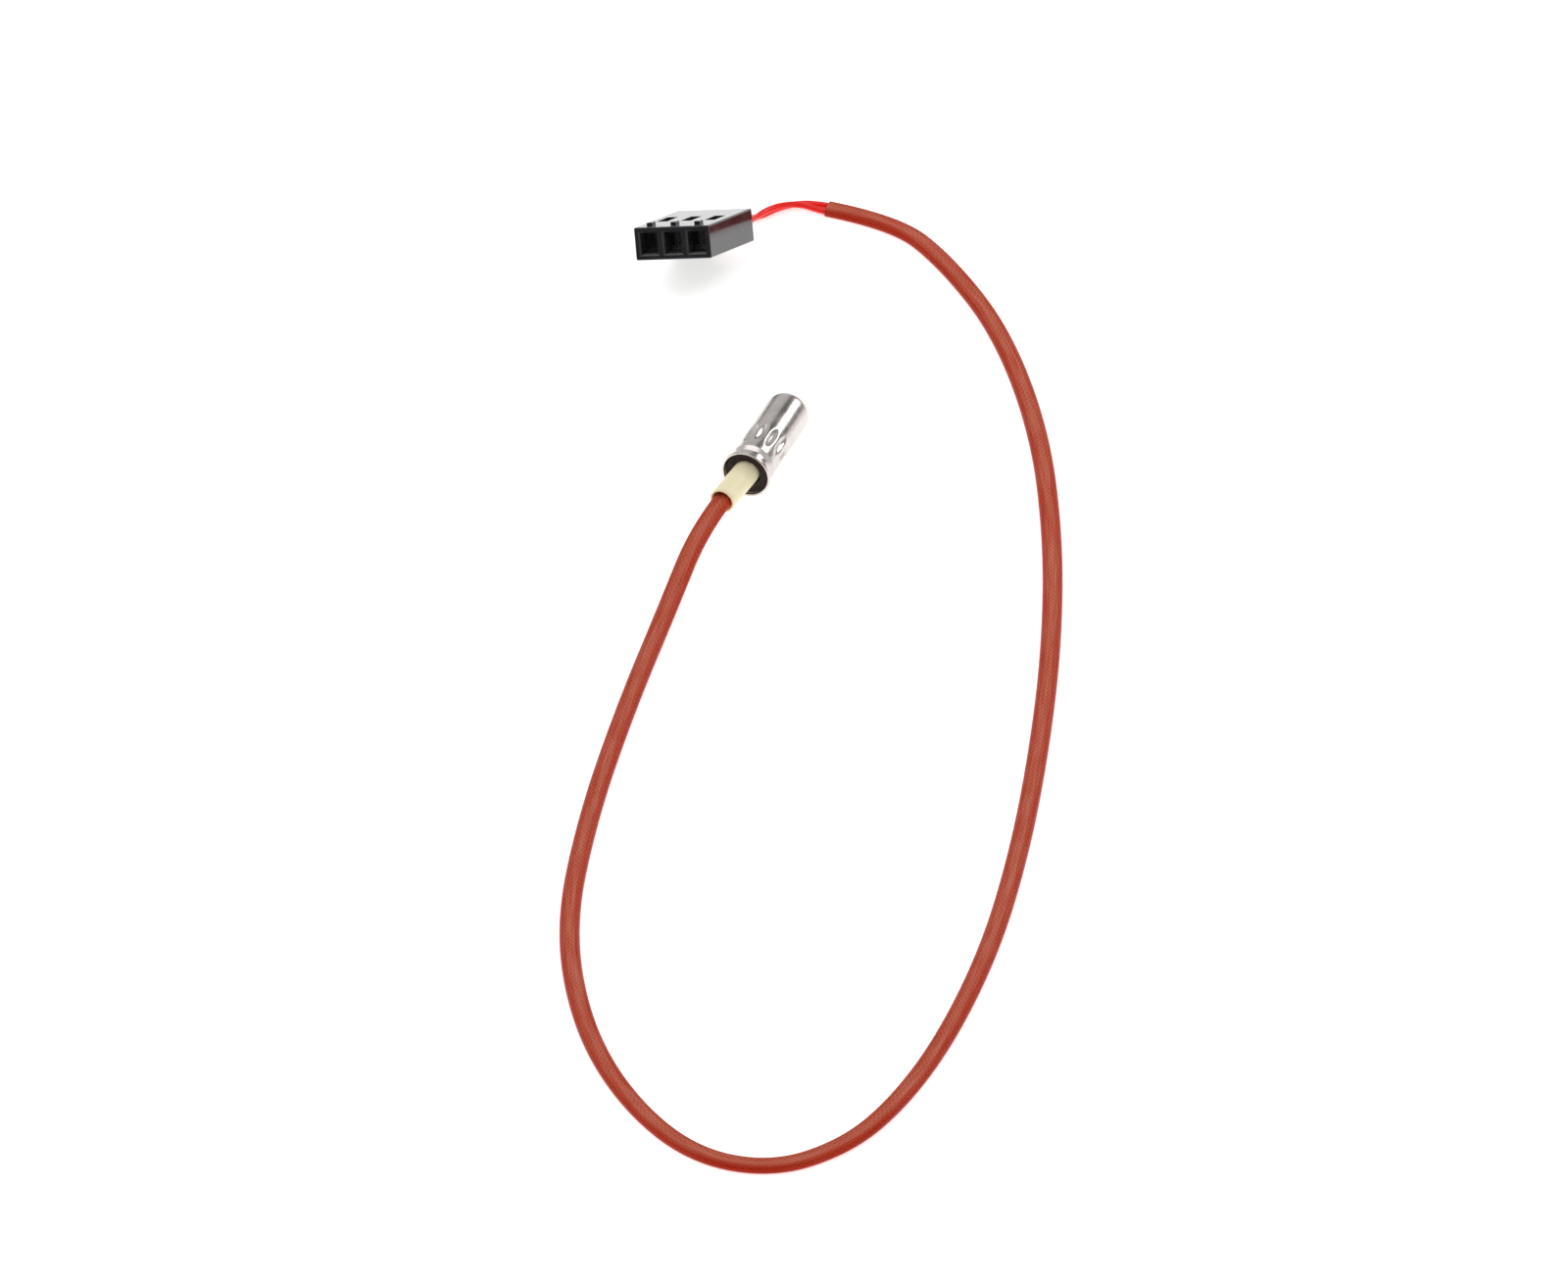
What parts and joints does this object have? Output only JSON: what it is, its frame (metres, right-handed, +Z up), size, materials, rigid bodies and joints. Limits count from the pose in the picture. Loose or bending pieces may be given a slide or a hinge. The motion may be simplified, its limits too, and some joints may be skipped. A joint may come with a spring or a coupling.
{
  "type": "flame sensor probe",
  "caption": "Flame sensor probe: closed metal cap crimped on a cream insulating tube, with a looped red sleeved two-wire lead ending in a black three-way socket connector.",
  "frame": {"origin": "on the surface it lies on, under the middle of the probe head (cap and insulating tube)", "axes": "+Y along the probe head from the insulating tube towards the closed tip, +Z up from the surface, +X towards the loop of the lead"},
  "size_m": [0.1171, 0.2376, 0.0146],
  "materials": {
    "cap_steel": "bright drawn stainless or nickel-plated metal",
    "bush_plastic": "dark brown phenolic",
    "cream_tube": "cream heat-resistant insulating tube",
    "cement": "cast ceramic cement",
    "chip_ceramic": "fired alumina",
    "chip_glaze": "fired glass glaze over the lead joints",
    "chip_lead": "nickel-clad lead wire",
    "ferrule": "nickel crimp tube",
    "splice_sleeve": "white heat-resistant sleeve",
    "conductor": "tinned copper strand",
    "wire_red": "bright red silicone insulation",
    "sleeve_red": "iron-red silicone sleeve, satin",
    "housing_black": "moulded black plastic",
    "terminal_tin": "tin-plated brass"
  },
  "bodies": {
    "root": {"probe_cap": "cap_steel", "retaining_bush": "bush_plastic", "insulating_tube": "cream_tube", "potting_cement": "cement", "chip_substrate": "chip_ceramic", "chip_glaze": "chip_glaze", "chip_lead_1": "chip_lead", "chip_lead_2": "chip_lead", "splice_ferrule_1": "ferrule", "splice_ferrule_2": "ferrule", "splice_sleeve_1": "splice_sleeve", "splice_sleeve_2": "splice_sleeve", "wire_core_1": "conductor", "wire_core_2": "conductor", "wire_insulation_1": "wire_red", "wire_insulation_2": "wire_red", "silicone_sleeve": "sleeve_red", "connector_housing": "housing_black", "terminal_1": "terminal_tin", "terminal_2": "terminal_tin"}
  },
  "joints": []
}
